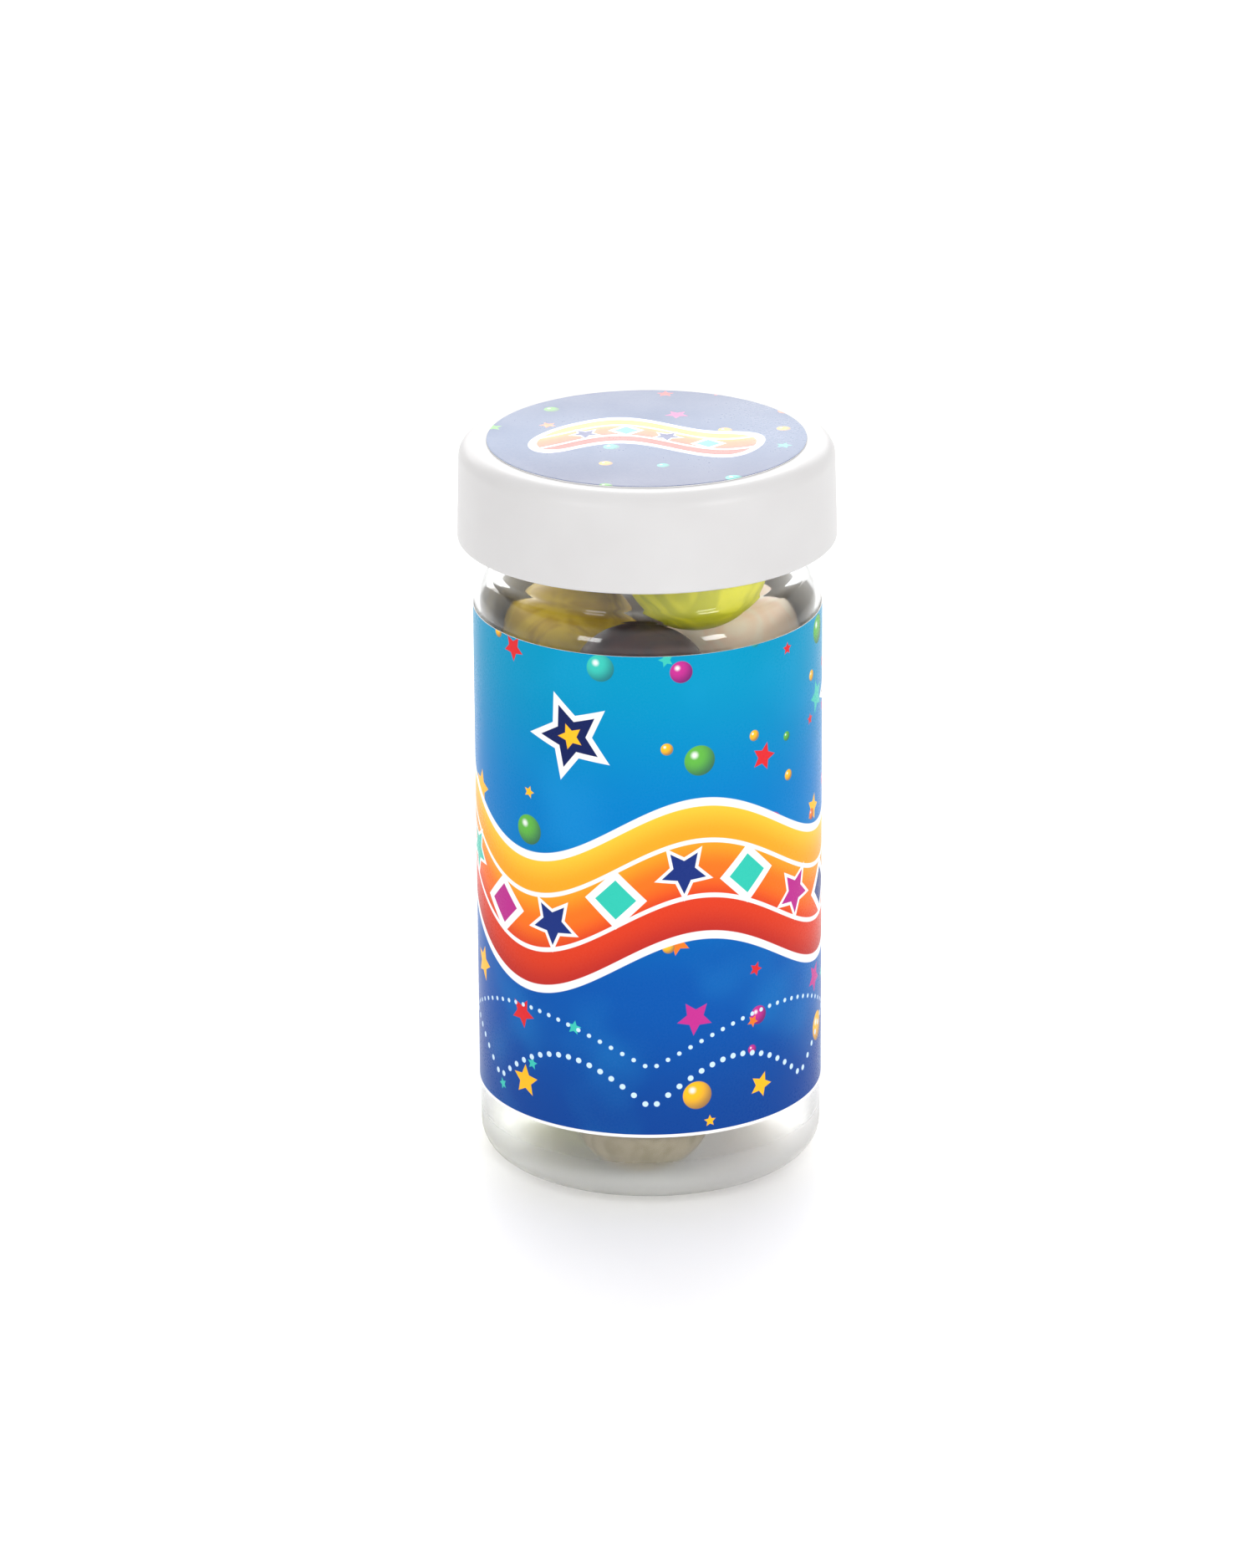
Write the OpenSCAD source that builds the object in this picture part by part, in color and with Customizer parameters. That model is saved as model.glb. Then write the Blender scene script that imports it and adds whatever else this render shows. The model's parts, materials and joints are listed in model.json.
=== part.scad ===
// Clear screw-top jar filled with bouncy balls.
// Millimetres, standing on z = 0, +Z up, with the front of the label facing -Y.

/* [Jar] */
// Outside diameter of the jar body
body_d = 65; // [54:0.5:76]
// Wall of the body and the shoulder
jar_wall = 0.9; // [0.6:0.1:1.4]
// Height from the standing face to the start of the shoulder
body_h = 110; // [80:1:140]
// Radius of the corner between the base and the body
heel_r = 5; // [3:0.5:8]
// Thickness of the base
floor_t = 1.5; // [1:0.1:3]
// Radius of the shallow dome pushed up into the base
dome_r = 16; // [10:0.5:20]
// Height of that dome
dome_h = 2.5; // [1:0.5:4]
// Radius of the rounded shoulder
shoulder_r = 6; // [4.5:0.5:8]
// Radius of the hollow curve between the shoulder and the neck
throat_r = 2; // [1:0.5:4]

/* [Neck] */
// Least step in from the body to the neck
neck_step = 0.5; // [0.5:0.5:6]
// Wall of the neck
neck_wall = 1.3; // [1:0.1:2]
// Height of the rim above the start of the shoulder
neck_h = 28; // [26:0.5:40]
// Radius on both edges of the rim
rim_r = 0.4; // [0.2:0.1:0.5]

/* [Thread] */
// Rise of the thread in one turn
pitch = 4.5; // [4:0.1:6]
// Turns of thread on the neck, and again in the cap
turns = 1.25; // [1:0.25:1.75]
// How far a thread stands out of its wall
thread_depth = 1.4; // [1:0.1:1.8]
// Width of a thread where it leaves its wall
thread_root_w = 1.8; // [1.4:0.1:2]
// Width of a thread at its crest
thread_crest_w = 0.8; // [0.5:0.1:1]
// Clearance between a crest and the wall that faces it
thread_gap = 0.4; // [0.3:0.05:0.8]
// Drop from the rim to the upper end of the neck thread
thread_drop = 4; // [2.5:0.5:6]

/* [Cap] */
// Outside diameter of the cap at its lower edge
cap_d = 71; // [60:0.5:78]
// Height of the cap
cap_h = 18.6; // [15:0.1:21]
// Narrowing of the cap's radius towards the top
cap_draft = 0.4; // [0:0.1:1]
// Thickness of the top panel
cap_top_t = 1.8; // [1.2:0.1:3]
// Radius on the upper edge
cap_edge_r = 3; // [1:0.5:4]
// Thickness of the smooth outer skirt
skirt_t = 1.7; // [1.2:0.1:2]
// Thickness of the threaded inner skirt
inner_skirt_t = 1.4; // [1:0.1:1.8]
// Least room between the two skirts
skirt_room = 1.6; // [0.8:0.1:3]
// How far the inner skirt stops above the outer one
inner_skirt_short = 1; // [0:0.5:3]
// Radius on the lower edge of the outer skirt
lip_r = 0.6; // [0.2:0.1:0.8]
// Thickness of the sealing liner
liner_t = 1; // [0.6:0.1:2]
// Clearance round the liner inside the cap
liner_gap = 0.3; // [0.1:0.1:0.6]
// Clearance above and below the liner
seat_gap = 0.05; // [0.05:0.05:0.2]

/* [Labels] */
// Height of the wrap label
label_h = 95.6; // [60:0.2:100]
// Lower edge of the wrap label above the standing face
label_z = 13.8; // [9:0.2:20]
// Thickness of a label
label_t = 0.2; // [0.1:0.05:0.3]
// Width of the lap where the wrap label closes at the back
lap_w = 6; // [3:0.5:12]
// Distance from the round label on the cap to the cap's rounded edge
cap_label_inset = 2.3; // [0.5:0.1:10]
// Thickness of the glue under a label
glue_t = 0.05; // [0.05:0.05:0.1]

/* [Balls] */
// Rings of balls in the body
ring_count = 5; // [3:1:6]
// Least room between the balls in the neck and the rim
head_room = 3; // [1:0.1:10]
// Step between the diameters in which the balls are made
ball_step = 0.1; // [0.1:0.1:2]
// Clearance between a ball and whatever it lies against
ball_gap = 0.2; // [0.1:0.05:0.4]
// Direction of the front ball of the top ring, from the front towards the right
front_ball_turn = -5; // [-60:5:60]

/* [Hidden] */
$fn = 96;
arc_steps = 10;
thread_steps = 36;
thread_bite = 0.5;
thread_lead = 4;
halvings = 30;
// Balls in a ring
ring_n = 3;

// Jar profile, with a neck that steps in from the body and goes into the cap
cap_r = cap_d / 2;
body_r = body_d / 2;
body_ir = body_r - jar_wall;
cap_build = skirt_t + skirt_room + inner_skirt_t + thread_gap + thread_depth;
neck_r = min(body_r - neck_step, cap_r - cap_build);
neck_ir = neck_r - neck_wall;
rim_z = body_h + neck_h;
shoulder_axis_r = body_r - shoulder_r;
dome_sphere_r = (dome_r ^ 2 + dome_h ^ 2) / (2 * dome_h);
dome_sphere_z = dome_h - dome_sphere_r;

// Cap levels and radii, built up from the rim and the thread
liner_z = rim_z + seat_gap;
ceiling_z = liner_z + liner_t + seat_gap;
cap_top_z = ceiling_z + cap_top_t;
cap_bottom_z = cap_top_z - cap_h;
cap_label_r = cap_r - cap_draft - cap_edge_r - cap_label_inset;
skirt_ir = neck_r + thread_depth + thread_gap;
neck_thread_z = rim_z - thread_drop - pitch * turns;

// The balls are the largest that pack into the jar
ball_d = ball_step * floor(largest(0, body_ir, halvings) / ball_step);
ring_r = ring_reach(ball_d);
first_ring_z = low_ring(ball_d);
ring_rise = ring_step(ball_d);
pair_r = pair_reach(ball_d);
pair_z = pair_rest(ball_d);

ring_balls = [
    for (k = [0 : ring_count - 1])
        for (i = [0 : ring_n - 1])
            around(ring_r, ring_turn(k) + 360 * i / ring_n, first_ring_z + k * ring_rise)
];
pair_balls = [for (side = [-1, 1]) around(pair_r, pair_turn(ball_d, side), pair_z)];
balls = concat(ring_balls, pair_balls);
ball_colors = [
    "yellowgreen", "cornsilk", "peachpuff", "mediumturquoise", "crimson", "hotpink", "royalblue", "orange",
    "mediumseagreen", "mediumpurple", "crimson", "mediumturquoise", "maroon", "peachpuff", "darkkhaki",
    "yellowgreen", "maroon"
];

function ball_name(i) = str("ball_", i < 9 ? "0" : "", i + 1);

// Point at a distance from the axis, turned from the front (-Y) towards the right (+X)
function around(r, turn, z) = [r * sin(turn), -r * cos(turn), z];

function ring_turn(k) = front_ball_turn + (ring_count - 1 - k) * 180 / ring_n;

// Packing of balls of diameter d: rings against the wall, each turned half a step from the one below
function ring_reach(d) = body_ir - d / 2 - ball_gap;

function ring_step(d) =
    let (apart = d + ball_gap, chord = 2 * ring_reach(d) * sin(90 / ring_n))
    max(sqrt(max(0, apart ^ 2 - chord ^ 2)), apart / 2);

function low_ring(d) =
    let (on_floor = floor_t + d / 2 + ball_gap)
    max(on_floor, dome_sphere_z + sqrt((dome_sphere_r + on_floor) ^ 2 - ring_reach(d) ^ 2));

function top_ring(d) = low_ring(d) + (ring_count - 1) * ring_step(d);

// Greatest height of a ball at a distance from the axis, under the hollow of the shoulder
function under_hollow(d, r) =
    let (
        hollow = throat_center(shoulder_r - jar_wall, neck_ir, throat_r + jar_wall),
        reach = throat_r + jar_wall + d / 2 + ball_gap
    )
    hollow[1] - sqrt(max(0, reach ^ 2 - (hollow[0] - r) ^ 2));

// Two last balls lie on the top ring against each other, and in the neck against its wall where both go in
function neck_reach(d) = neck_ir - d / 2 - ball_gap;

function pair_reach(d) = max(neck_reach(d), (d + ball_gap) / 2);

function pair_turn(d, side) =
    front_ball_turn + 360 / ring_n + side * asin((d + ball_gap) / (2 * pair_reach(d)));

function pair_rest(d) = max([
    for (i = [0 : ring_n - 1])
        let (
            below = around(ring_reach(d), front_ball_turn + 360 * i / ring_n, 0),
            flat = around(pair_reach(d), pair_turn(d, -1), 0) - below
        )
        top_ring(d) + sqrt(max(0, (d + ball_gap) ^ 2 - flat * flat))
]);

function pair_packs(d) =
    pair_reach(d) == neck_reach(d)
    ? pair_rest(d) + d / 2 + head_room <= rim_z
    : pair_rest(d) <= under_hollow(d, pair_reach(d));

function packs(d) =
    d + ball_gap <= 2 * ring_reach(d) * sin(180 / ring_n)
    && top_ring(d) <= under_hollow(d, ring_reach(d))
    && pair_packs(d);

// Largest diameter between two that packs, found by halving
function largest(low, high, left) =
    let (middle = (low + high) / 2)
    left == 0 ? low
    : packs(middle) ? largest(middle, high, left - 1)
    : largest(low, middle, left - 1);

function arc(center, r, from, to) = [
    for (i = [0 : arc_steps])
        let (a = from + (to - from) * i / arc_steps) center + r * [cos(a), sin(a)]
];

// Center of the hollow curve that touches a shoulder arc and a neck wall
function throat_center(arc_r, wall_r, hollow_r) = [
    wall_r + hollow_r,
    body_h + sqrt((arc_r + hollow_r) ^ 2 - (wall_r + hollow_r - shoulder_axis_r) ^ 2)
];

// Rounded shoulder and hollow, from the body wall up to the neck wall
function shoulder(arc_r, wall_r, hollow_r) =
    let (
        axis = [shoulder_axis_r, body_h],
        hollow = throat_center(arc_r, wall_r, hollow_r),
        meet = atan2(hollow[1] - axis[1], hollow[0] - axis[0])
    )
    concat(arc(axis, arc_r, 0, meet), arc(hollow, hollow_r, 180 + meet, 180));

function reversed(list) = [for (i = [len(list) - 1 : -1 : 0]) list[i]];

// Half section of the pushed-up base, from the axis out to the edge of the dome
function dome(r, edge_r) = arc([0, dome_sphere_z], r, 90, acos(edge_r / r));

module jar_blank() {
    heel = [body_r - heel_r, heel_r];
    outside = concat(
        dome(dome_sphere_r, dome_r),
        arc(heel, heel_r, -90, 0),
        shoulder(shoulder_r, neck_r, throat_r),
        arc([neck_r - rim_r, rim_z - rim_r], rim_r, 0, 90)
    );
    inner_heel_r = heel_r - jar_wall;
    dome_ir = dome_sphere_r + floor_t;
    dome_edge_r = sqrt(dome_ir ^ 2 - (floor_t - dome_sphere_z) ^ 2);
    inside = concat(
        dome(dome_ir, dome_edge_r),
        arc([body_ir - inner_heel_r, floor_t + inner_heel_r], inner_heel_r, -90, 0),
        shoulder(shoulder_r - jar_wall, neck_ir, throat_r + jar_wall),
        arc([neck_ir + rim_r, rim_z - rim_r], rim_r, 180, 90)
    );
    rotate_extrude() polygon(concat(outside, reversed(inside)));
}

// Helical ridge on a round wall: side 1 stands outwards, side -1 stands inwards
module thread(wall_r, start_z, side) {
    count = round(thread_steps * turns);
    points = [
        for (i = [0 : count])
            let (
                a = 360 * i / thread_steps,
                z = start_z + pitch * i / thread_steps,
                grown = min(1, i / thread_lead, (count - i) / thread_lead),
                crest = wall_r + side * ((thread_depth + thread_bite / 2) * grown - thread_bite / 2),
                root = wall_r - side * thread_bite,
                root_half = side * thread_root_w / 2,
                crest_half = side * thread_crest_w / 2
            )
            each [
                for (p = [[root, -root_half], [crest, -crest_half], [crest, crest_half], [root, root_half]])
                    [p[0] * cos(a), p[0] * sin(a), z + p[1]]
            ]
    ];
    sides = [
        for (i = [0 : count - 1], j = [0 : 3])
            let (a = 4 * i + j, b = 4 * i + (j + 1) % 4)
            each [[a, b, b + 4], [a, b + 4, a + 4]]
    ];
    end = 4 * count;
    ends = [[2, 1, 0], [3, 2, 0], [end, end + 1, end + 2], [end, end + 2, end + 3]];
    polyhedron(points, concat(sides, ends));
}

module jar() {
    color("aliceblue", 0.35) union() {
        jar_blank();
        thread(neck_r, neck_thread_z, 1);
    }
}

module cap_blank() {
    top_r = cap_r - cap_draft;
    groove_r = cap_r - skirt_t;
    inner_skirt_r = skirt_ir + inner_skirt_t;
    inner_skirt_z = cap_bottom_z + inner_skirt_short;
    outside = concat(
        [[0, cap_top_z]],
        arc([top_r - cap_edge_r, cap_top_z - cap_edge_r], cap_edge_r, 90, 0),
        arc([cap_r - lip_r, cap_bottom_z + lip_r], lip_r, 0, -90),
        arc([groove_r + lip_r, cap_bottom_z + lip_r], lip_r, -90, -180)
    );
    inside = [
        [groove_r - cap_draft, ceiling_z],
        [inner_skirt_r, ceiling_z],
        [inner_skirt_r, inner_skirt_z],
        [skirt_ir, inner_skirt_z],
        [skirt_ir, ceiling_z],
        [0, ceiling_z]
    ];
    rotate_extrude() polygon(concat(outside, inside));
}

module cap() {
    color("white") union() {
        cap_blank();
        thread(skirt_ir, neck_thread_z - pitch / 2, -1);
    }
}

module cap_liner() {
    color("gainsboro") translate([0, 0, liner_z]) cylinder(r = skirt_ir - liner_gap, h = liner_t);
}

// The wrap goes once round the body, and its end lies on its start at the back
module body_label() {
    wrap_r = body_r + glue_t;
    lap_turn = lap_w / wrap_r * 180 / PI;
    lap_sunk = label_t / 2;
    color("dodgerblue") translate([0, 0, label_z]) union() {
        rotate_extrude() translate([wrap_r, 0]) square([label_t, label_h]);
        rotate([0, 0, 90 - lap_turn / 2]) rotate_extrude(angle = lap_turn)
            translate([wrap_r + label_t - lap_sunk, 0]) square([label_t + lap_sunk, label_h]);
    }
}

module cap_label() {
    color("lightskyblue") translate([0, 0, cap_top_z + glue_t]) cylinder(r = cap_label_r, h = label_t);
}

module ball(i) {
    color(ball_colors[i % len(ball_colors)]) translate(balls[i]) sphere(d = ball_d);
}

jar();
cap();
cap_liner();
body_label();
cap_label();
for (i = [0 : len(balls) - 1])
    ball(i);
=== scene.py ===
import json
import math

import bpy
from mathutils import Matrix, Vector


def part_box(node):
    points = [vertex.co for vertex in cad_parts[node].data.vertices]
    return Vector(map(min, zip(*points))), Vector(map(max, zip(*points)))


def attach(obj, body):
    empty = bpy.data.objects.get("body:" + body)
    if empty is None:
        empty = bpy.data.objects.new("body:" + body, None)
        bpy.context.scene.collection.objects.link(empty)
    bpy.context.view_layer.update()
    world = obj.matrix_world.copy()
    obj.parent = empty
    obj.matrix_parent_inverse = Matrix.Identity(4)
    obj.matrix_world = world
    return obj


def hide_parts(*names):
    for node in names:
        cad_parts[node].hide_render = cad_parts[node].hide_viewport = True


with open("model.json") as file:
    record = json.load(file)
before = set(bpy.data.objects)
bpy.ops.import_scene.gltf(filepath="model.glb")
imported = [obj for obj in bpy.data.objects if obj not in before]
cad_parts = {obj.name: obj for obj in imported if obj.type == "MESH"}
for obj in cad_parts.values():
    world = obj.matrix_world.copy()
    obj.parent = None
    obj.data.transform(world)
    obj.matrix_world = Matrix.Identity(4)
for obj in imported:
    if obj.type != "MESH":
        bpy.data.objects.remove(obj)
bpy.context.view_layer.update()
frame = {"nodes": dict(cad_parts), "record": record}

# Sizes in metres: the frame gives the outer ones, and walls, curves and threads follow the part
MM = 0.001
BODY_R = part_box("jar")[1].x
RIM_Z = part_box("jar")[1].z
NECK_H = 28 * MM
SHOULDER_Z = RIM_Z - NECK_H
JAR_WALL = 0.9 * MM
FLOOR_T = 1.5 * MM
HEEL_R = 5 * MM
DOME_R = 16 * MM
DOME_H = 2.5 * MM
GATE_R = 1.4 * MM
GATE_H = 0.5 * MM
SHOULDER_R = 6 * MM
THROAT_R = 2 * MM
NECK_R = 29 * MM
NECK_WALL = 1.3 * MM
RIM_ROUND = 0.4 * MM

PITCH = 4.5 * MM
TURNS = 1.25
THREAD_DEPTH = 1.4 * MM
THREAD_ROOT = 1.8 * MM
THREAD_CREST = 0.8 * MM
THREAD_GAP = 0.4 * MM
THREAD_BITE = 0.3 * MM
THREAD_STEPS = 72
THREAD_LEAD = 8
THREAD_TIP = 0.15
THREAD_TOP = 4 * MM
THREAD_Z = RIM_Z - THREAD_TOP - PITCH * TURNS

CAP_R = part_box("cap")[1].x
CAP_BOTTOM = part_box("cap")[0].z
CAP_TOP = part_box("cap")[1].z
CAP_DRAFT = 0.4 * MM
CAP_ROOF = 1.8 * MM
CAP_CEILING = CAP_TOP - CAP_ROOF
CAP_EDGE_R = 3 * MM
SKIRT_T = 1.7 * MM
SKIRT_IR = NECK_R + THREAD_DEPTH + THREAD_GAP
INNER_SKIRT_T = 1.4 * MM
INNER_SKIRT_R = SKIRT_IR + INNER_SKIRT_T
INNER_SKIRT_UP = 1 * MM
INNER_SKIRT_Z = CAP_BOTTOM + INNER_SKIRT_UP
LIP_R = 0.6 * MM

LINER_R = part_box("cap_liner")[1].x
LINER_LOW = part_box("cap_liner")[0].z
LINER_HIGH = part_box("cap_liner")[1].z
LINER_EDGE = 0.3 * MM
LINER_GROOVE = 0.12 * MM

LABEL_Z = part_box("body_label")[0].z
LABEL_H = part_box("body_label")[1].z - LABEL_Z
LABEL_OUT_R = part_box("body_label")[1].x
LABEL_T = 0.2 * MM
WRAP_STEPS = 192
WRAP_ROWS = 24
LAP_STEPS = 5
LAP_RISE_STEPS = 2
LAP_CLEARANCE = 0.02 * MM
DISC_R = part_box("cap_label")[1].x
DISC_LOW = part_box("cap_label")[0].z
DISC_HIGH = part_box("cap_label")[1].z
DISC_EDGE = 0.08 * MM

BALL_NODES = sorted(n for n in frame["nodes"] if n.startswith("ball_"))
BALL_R = (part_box(BALL_NODES[0])[1].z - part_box(BALL_NODES[0])[0].z) / 2
SEAM_W = 0.5 * MM
SEAM_H = 0.06 * MM
BALL_GATE_UP = 3 * MM
BALL_GATE_INSET = 0.3 * MM
BALL_GATE_SINK = 0.15 * MM

# Segments round a turned piece, and the distance under which its points are merged
ROUND = 160
WELD = 0.002 * MM

# The photograph's camera: its frame in pixels, focal length in pixels, and the axis of the jar in it
FRAME_W = 1500
FRAME_H = 1875
FOCAL_PX = 8269
AXIS_PX = 775.9
CAMERA_AWAY = 1.308
CAMERA_UP = 20.41
CAMERA_ROLL = -0.4
AIM_Z = 72.5 * MM
SENSOR = 36.0

# The studio: name, place, width and height, and watts of each light
LIGHTS = (
    ("back card", (-0.1, 1.6, 0.7), (1.8, 0.5), 12),
    ("key softbox", (0.1, 0.6, 1.4), (1.0, 1.0), 3),
    ("left lamp", (-0.95, -1.15, 0.62), (0.4, 0.4), 4),
    ("right lamp", (1.05, -1.05, 0.62), (0.4, 0.4), 6),
)
SKY_STRENGTH = 0.945
FLOOR_SIZE = 8

SLOT_OF = {s["node"]: s["material_slot"] for s in frame["record"]["subparts"]}


# Modelling helpers


def arc(center, radius, start, end, steps=10):
    """Points on an arc in a half section, from start to end in degrees."""
    turns = [math.radians(start + (end - start) * i / steps) for i in range(steps + 1)]
    return [(center[0] + radius * math.cos(a), center[1] + radius * math.sin(a)) for a in turns]


def held(points, near=0.4 * MM):
    """The same outline with a point near both ends of each long straight run, which holds its shading."""
    made = [points[0]]
    for (r0, z0), (r1, z1) in zip(points, points[1:]):
        length = math.hypot(r1 - r0, z1 - z0)
        if length > 5 * near:
            for share in (near / length, 1 - near / length):
                made.append((r0 + (r1 - r0) * share, z0 + (z1 - z0) * share))
        made.append((r1, z1))
    return made


def start_piece(name):
    piece = bpy.context.object
    piece.name = name
    piece.data.name = name
    return piece


def only(piece):
    bpy.ops.object.select_all(action="DESELECT")
    piece.select_set(True)
    bpy.context.view_layer.objects.active = piece


def edit(piece, pick=None):
    """Edit mode with the vertices chosen by pick selected, or all of them."""
    only(piece)
    bpy.ops.object.mode_set(mode="EDIT")
    bpy.ops.mesh.select_mode(type="VERT")
    bpy.ops.mesh.select_all(action="DESELECT" if pick else "SELECT")
    if pick:
        bpy.ops.object.mode_set(mode="OBJECT")
        for vertex in piece.data.vertices:
            vertex.select = pick(vertex)
        bpy.ops.object.mode_set(mode="EDIT")


def leave():
    bpy.ops.object.mode_set(mode="OBJECT")


def spun(name, section, angle=2 * math.pi, steps=ROUND):
    """A half section drawn from one point by extruding it along, then spun round the axis."""
    bpy.ops.object.select_all(action="DESELECT")
    bpy.ops.mesh.primitive_plane_add(size=MM)
    piece = start_piece(name)
    bpy.ops.object.mode_set(mode="EDIT")
    bpy.ops.mesh.select_mode(type="VERT")
    bpy.ops.mesh.select_all(action="SELECT")
    bpy.ops.mesh.merge(type="CENTER")
    bpy.ops.transform.translate(value=(section[0][0], 0, section[0][1]))
    for (r0, z0), (r1, z1) in zip(section, section[1:]):
        bpy.ops.mesh.extrude_vertices_move(TRANSFORM_OT_translate={"value": (r1 - r0, 0, z1 - z0)})
    bpy.ops.mesh.select_all(action="SELECT")
    bpy.ops.mesh.spin(steps=steps, angle=angle, center=(0, 0, 0), axis=(0, 0, 1))
    leave()
    return piece


def closed(piece):
    """Merges the seam and the poles of a spun piece and turns its faces outwards."""
    edit(piece)
    bpy.ops.mesh.remove_doubles(threshold=WELD)
    bpy.ops.mesh.normals_make_consistent(inside=False)
    leave()
    return piece


def smooth(piece, degrees=35):
    only(piece)
    bpy.ops.object.shade_smooth_by_angle(angle=math.radians(degrees))
    return piece


def apply_modifier(piece, modifier):
    only(piece)
    bpy.ops.object.modifier_apply(modifier=modifier.name)


def fuse(piece, other):
    """Joins another closed solid to a piece, as one skin without slivers."""
    union = piece.modifiers.new("union", "BOOLEAN")
    union.operation = "UNION"
    union.solver = "EXACT"
    union.object = other
    apply_modifier(piece, union)
    bpy.data.objects.remove(other)
    return closed(piece)


def thread_ridge(name, wall_r, start_z, side):
    """A helical ridge with tapered ends: side 1 stands out of a neck, side -1 stands into a cap."""
    bpy.ops.object.select_all(action="DESELECT")
    bpy.ops.mesh.primitive_plane_add(size=1, rotation=(math.pi / 2, 0, 0))
    ridge = start_piece(name)
    deep = THREAD_DEPTH + THREAD_BITE
    middle_r = wall_r + side * (deep / 2 - THREAD_BITE)
    ridge.scale = (deep, THREAD_ROOT, 1)
    ridge.location = (middle_r, 0, start_z)
    bpy.ops.object.transform_apply(location=True, rotation=True, scale=True)
    edit(ridge, lambda v: side * (v.co.x - middle_r) > 0)
    bpy.ops.transform.resize(
        value=(1, 1, THREAD_CREST / THREAD_ROOT), center_override=(middle_r, 0, start_z)
    )
    bpy.ops.mesh.select_all(action="SELECT")
    bpy.ops.mesh.delete(type="ONLY_FACE")
    leave()
    helix = ridge.modifiers.new("helix", "SCREW")
    helix.angle = 2 * math.pi * TURNS
    helix.screw_offset = PITCH * TURNS
    helix.steps = helix.render_steps = round(THREAD_STEPS * TURNS)
    helix.use_merge_vertices = False
    apply_modifier(ridge, helix)
    taper_ends(ridge, wall_r, side)
    edit(ridge)
    bpy.ops.mesh.fill_holes(sides=4)
    bpy.ops.mesh.select_all(action="SELECT")
    bpy.ops.mesh.normals_make_consistent(inside=False)
    leave()
    return ridge


def taper_ends(ridge, wall_r, side):
    """Draws the first and last rings of a ridge down into its wall."""
    rings = len(ridge.data.vertices) // 4
    for i in range(THREAD_LEAD):
        share = i / THREAD_LEAD
        for ring in (i, rings - 1 - i):
            corners = [ridge.data.vertices[4 * ring + k].co.copy() for k in range(4)]
            middle = sum(corners, Vector()) / 4
            sunk_r = wall_r - side * THREAD_BITE
            foot = Vector((middle.x, middle.y, 0)).normalized() * sunk_r
            edit(ridge, lambda v: v.index // 4 == ring)
            bpy.ops.transform.resize(
                value=(THREAD_TIP + (1 - THREAD_TIP) * share,) * 3, center_override=(foot.x, foot.y, middle.z)
            )
            leave()


def assign_faces(piece, index, pick):
    """Gives the faces chosen by pick the material in a slot."""
    only(piece)
    bpy.ops.object.mode_set(mode="EDIT")
    bpy.ops.mesh.select_mode(type="FACE")
    bpy.ops.mesh.select_all(action="DESELECT")
    leave()
    for face in piece.data.polygons:
        face.select = pick(face)
    bpy.ops.object.mode_set(mode="EDIT")
    piece.active_material_index = index
    bpy.ops.object.material_slot_assign()
    leave()


def set_out(piece, node, body, *materials):
    """Puts a finished piece on its body in place of its node."""
    for made in materials:
        piece.data.materials.append(made)
    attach(piece, body)
    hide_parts(node)
    return piece


# Node helpers


def srgb(red, green, blue):
    """A colour from screen values of 0 to 255."""
    parts = [v / 255 for v in (red, green, blue)]
    return tuple(v / 12.92 if v <= 0.04045 else ((v + 0.055) / 1.055) ** 2.4 for v in parts) + (1.0,)


def join(tree, value, socket):
    if isinstance(value, bpy.types.NodeSocket):
        tree.links.new(value, socket)
    else:
        socket.default_value = value


def calc(tree, operation, *values):
    node = tree.nodes.new("ShaderNodeMath")
    node.operation = operation
    for value, socket in zip(values, node.inputs):
        join(tree, value, socket)
    return node.outputs[0]


def under(tree, value, edge, soft):
    """A mask that is 1 where value lies under edge, with a soft step."""
    node = tree.nodes.new("ShaderNodeMapRange")
    node.interpolation_type = "SMOOTHSTEP"
    join(tree, calc(tree, "SUBTRACT", value, edge), node.inputs["Value"])
    node.inputs["From Min"].default_value = -soft
    node.inputs["From Max"].default_value = soft
    node.inputs["To Min"].default_value = 1.0
    node.inputs["To Max"].default_value = 0.0
    return node.outputs[0]


def both(tree, first, second):
    return calc(tree, "MULTIPLY", first, second)


def layer(tree, mask, below, above):
    """Paints one colour over another where the mask is 1."""
    node = tree.nodes.new("ShaderNodeMix")
    node.data_type = "RGBA"
    join(tree, mask, node.inputs[0])
    join(tree, below, node.inputs[6])
    join(tree, above, node.inputs[7])
    return node.outputs[2]


def ramp(tree, value, stops, step=False):
    node = tree.nodes.new("ShaderNodeValToRGB")
    node.color_ramp.interpolation = "CONSTANT" if step else "EASE"
    join(tree, value, node.inputs[0])
    elements = node.color_ramp.elements
    while len(elements) < len(stops):
        elements.new(0.5)
    for element, (place, colour) in zip(elements, stops):
        element.position = place
        element.color = colour
    return node.outputs[0]


def length(tree, x, y):
    return calc(tree, "SQRT", calc(tree, "ADD", both(tree, x, x), both(tree, y, y)))


def position(tree):
    """The X, Y and Z of a point on the piece."""
    place = tree.nodes.new("ShaderNodeTexCoord")
    split = tree.nodes.new("ShaderNodeSeparateXYZ")
    tree.links.new(place.outputs["Object"], split.inputs[0])
    return split.outputs


def noise(tree, scale, detail=2.0, distortion=0.0):
    place = tree.nodes.new("ShaderNodeTexCoord")
    node = tree.nodes.new("ShaderNodeTexNoise")
    tree.links.new(place.outputs["Object"], node.inputs["Vector"])
    join(tree, scale, node.inputs["Scale"])
    node.inputs["Detail"].default_value = detail
    node.inputs["Distortion"].default_value = distortion
    return node.outputs[0]


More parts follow.
